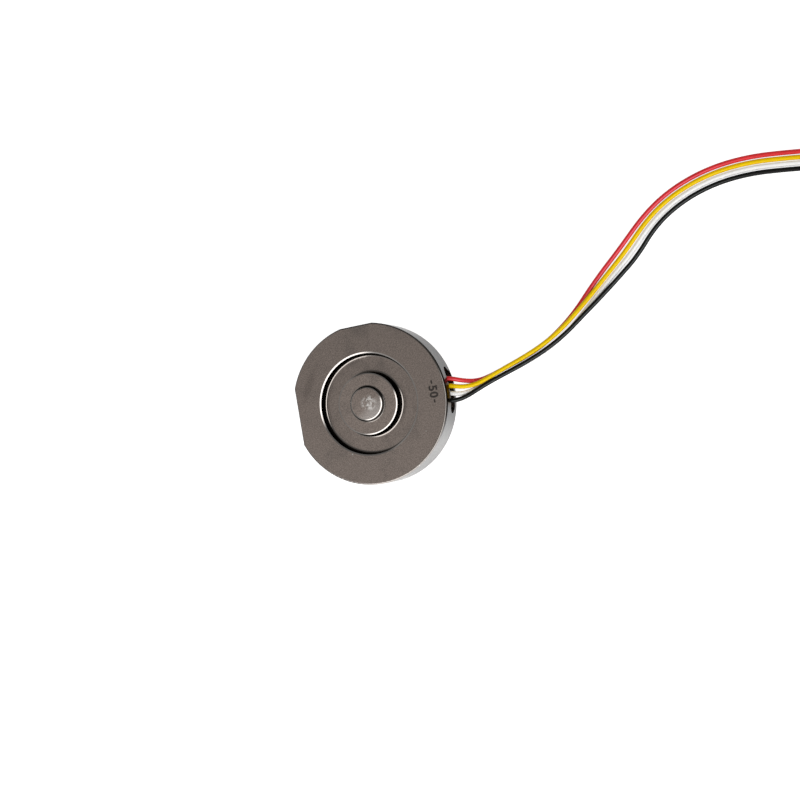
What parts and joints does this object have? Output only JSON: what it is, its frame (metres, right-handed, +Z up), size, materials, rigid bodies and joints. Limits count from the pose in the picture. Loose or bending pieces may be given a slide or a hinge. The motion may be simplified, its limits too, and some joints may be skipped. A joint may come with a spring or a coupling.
{
  "type": "compression load cell",
  "caption": "Coin-size stainless button load cell: round flexure with a recessed diaphragm, a raised load button, a side slot and loose leads with tinned ends.",
  "frame": {"origin": "centre of the base underside, on the axis of the round body", "axes": "+Z up along the load axis, out of the load button; +X out of the slot that the leads leave by; the deep flat faces -X and the shallow flat faces +Y"},
  "size_m": [0.0786, 0.0299, 0.0057],
  "materials": {
    "stainless_body": "fine turned satin",
    "cover_steel": "rolled, lightly brushed",
    "epoxy": "cured adhesive",
    "board_laminate": "solder mask",
    "gauge_glass": "fired glass frit, opaque",
    "silicon": "polished silicon",
    "gold": "bright drawn wire",
    "chip_ceramic": "coated ceramic",
    "insulation_red": "smooth extruded",
    "insulation_yellow": "smooth extruded",
    "insulation_white": "smooth extruded",
    "insulation_black": "smooth extruded",
    "tinned_copper": "tinned strands",
    "solder": "bright solder",
    "dark_sealant": "cured sealant"
  },
  "bodies": {
    "root": {"sensing_body": "stainless_body", "base_cover": "cover_steel", "cover_adhesive": "epoxy", "circuit_board": "board_laminate", "board_adhesive": "epoxy", "glass_bead_inner_front": "gauge_glass", "glass_bead_inner_rear": "gauge_glass", "glass_bead_outer_front": "gauge_glass", "glass_bead_outer_rear": "gauge_glass", "strain_gauge_inner_front": "silicon", "strain_gauge_inner_rear": "silicon", "strain_gauge_outer_front": "silicon", "strain_gauge_outer_rear": "silicon", "bond_wires": "gold", "trim_resistor_1": "chip_ceramic", "trim_resistor_2": "chip_ceramic", "trim_resistor_3": "chip_ceramic", "trim_resistor_4": "chip_ceramic", "lead_red": "insulation_red", "lead_yellow": "insulation_yellow", "lead_white": "insulation_white", "lead_black": "insulation_black", "inner_end_red": "tinned_copper", "inner_end_yellow": "tinned_copper", "inner_end_white": "tinned_copper", "inner_end_black": "tinned_copper", "tinned_tip_red": "tinned_copper", "tinned_tip_yellow": "tinned_copper", "tinned_tip_white": "tinned_copper", "tinned_tip_black": "tinned_copper", "solder_joint_red": "solder", "solder_joint_yellow": "solder", "solder_joint_white": "solder", "solder_joint_black": "solder", "exit_sealant": "dark_sealant"}
  },
  "joints": []
}
